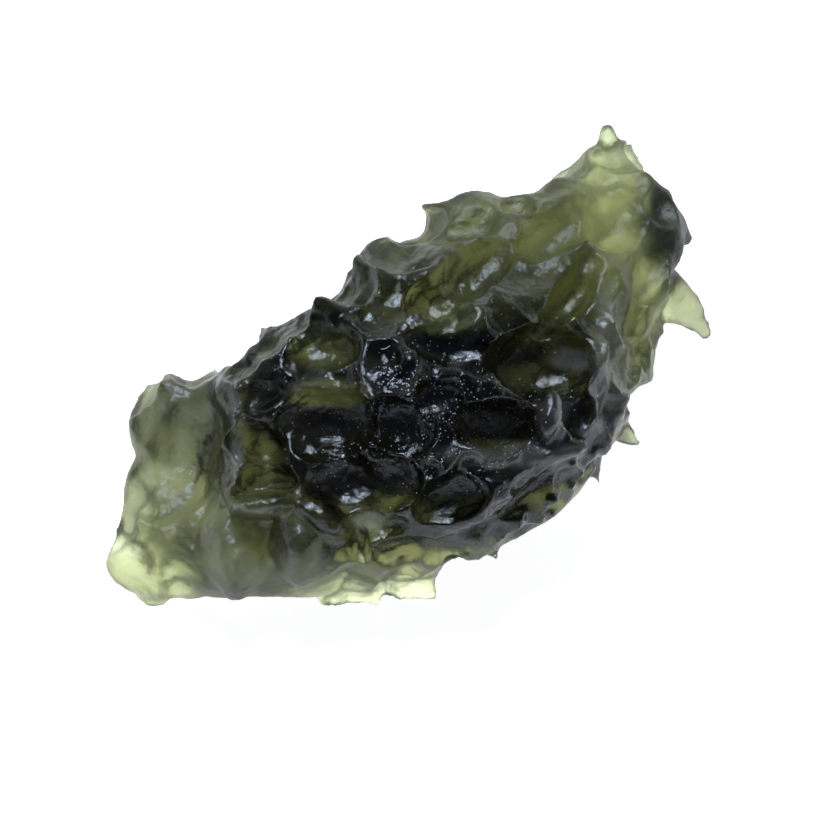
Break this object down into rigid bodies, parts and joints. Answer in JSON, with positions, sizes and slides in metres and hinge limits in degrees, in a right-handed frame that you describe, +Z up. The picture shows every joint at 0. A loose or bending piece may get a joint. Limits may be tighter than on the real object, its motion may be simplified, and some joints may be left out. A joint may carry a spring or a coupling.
{
  "type": "moldavite",
  "caption": "Rough moldavite: a long pitted piece of see-through green natural glass with sharp ridges, thin flanges and small spikes, lying on its flattest side.",
  "frame": {"origin": "middle of the base, on the surface that the stone lies on", "axes": "+X along the stone towards the narrow end with the drawn-out tip, +Y across it to the side away from the knuckles, +Z up"},
  "size_m": [0.029, 0.0162, 0.0103],
  "materials": {
    "moldavite": "natural glass, satin on the etched skin and bright on the ridges"
  },
  "bodies": {
    "root": {"moldavite": "moldavite"}
  },
  "joints": []
}
